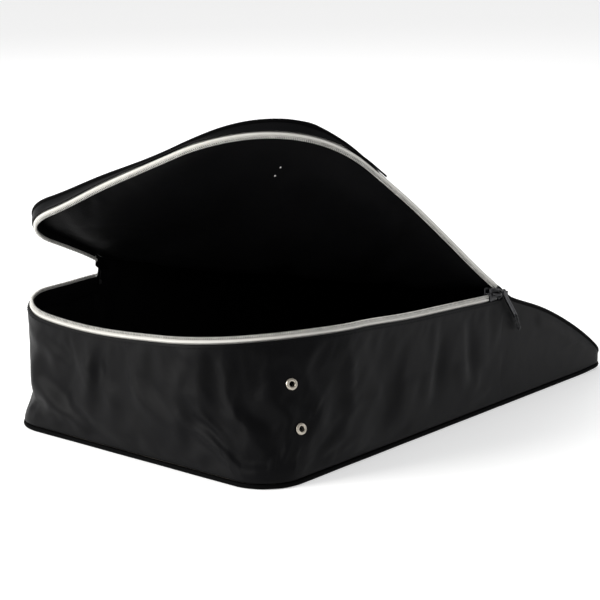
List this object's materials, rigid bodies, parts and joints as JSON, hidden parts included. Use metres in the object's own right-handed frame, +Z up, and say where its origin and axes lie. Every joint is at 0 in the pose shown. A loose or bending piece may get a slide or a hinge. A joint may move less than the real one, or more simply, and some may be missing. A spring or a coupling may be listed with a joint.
{
  "type": "golf shoe bag",
  "caption": "Wedge-shaped fabric shoe bag with a lid that unzips round the heel end and folds back on a diagonal crease.",
  "frame": {"origin": "on the ground under the middle of the bag's length and width, at the underside of the floor panel", "axes": "+X from the heel end to the toe end, +Y away from the side where the slider stands, +Z up"},
  "size_m": [0.381, 0.2329, 0.2079],
  "materials": {
    "outer_cloth": "matte woven nylon",
    "lining_cloth": "thin smooth woven lining",
    "stiffener": "plain board",
    "zip_tape": "woven tape",
    "zip_coil": "nylon coil",
    "nickel": "worn nickel plate",
    "black_metal": "black enamel",
    "tab_metal": "dark grey, worn",
    "webbing": "ribbed webbing",
    "cord": "braided cord",
    "piping": "covered cord"
  },
  "bodies": {
    "base": {"base_panel": "outer_cloth", "base_board": "stiffener", "floor_lining": "lining_cloth", "side_wall": "outer_cloth", "wall_lining": "lining_cloth", "toe_panel": "outer_cloth", "bottom_piping": "piping", "toe_piping": "piping", "rim_binding": "lining_cloth", "base_zip_tape": "zip_tape", "base_zip_coil": "zip_coil", "zip_stops": "black_metal", "eyelet_barrels": "nickel", "eyelet_washers": "nickel"},
    "lid": {"lid_panel": "outer_cloth", "lid_lining": "lining_cloth", "lid_band": "outer_cloth", "lid_piping": "piping", "lid_binding": "lining_cloth", "lid_zip_tape": "zip_tape", "lid_zip_coil": "zip_coil", "handle_patches": "webbing"},
    "handle": {"handle_webbing": "webbing"},
    "slider": {"slider_body": "black_metal", "slider_bridge": "black_metal"},
    "pull_link": {"pull_link": "black_metal"},
    "pull": {"pull_tab": "tab_metal", "pull_cord": "cord"}
  },
  "joints": [
    {"name": "lid_fold", "type": "hinge", "parent": "base", "child": "lid", "pos_m": [0.053, -0.10221, 0.0819], "axis": [-0.6067, 0.7927, 0.0594], "range_deg": [-43.2, 75]},
    {"name": "handle_swing", "type": "hinge", "parent": "lid", "child": "handle", "pos_m": [-0.10832, 0.01315, 0.15424], "axis": [-0.171, 0.8993, -0.4025], "range_deg": [-30, 30]},
    {"name": "slider_travel", "type": "slide", "parent": "base", "child": "slider", "axis": [-0.998, -0.0525, 0.0349], "range_m": [0, 0.138]},
    {"name": "pull_flip", "type": "hinge", "parent": "slider", "child": "pull_link", "pos_m": [0.04469, -0.10505, 0.0787], "axis": [-0.0348, -0.0018, -0.9994], "range_deg": [0, 180]},
    {"name": "pull_swing", "type": "hinge", "parent": "pull_link", "child": "pull", "pos_m": [0.05108, -0.10472, 0.07848], "axis": [-0.0526, 0.9986, 0], "range_deg": [-45, 42]}
  ]
}
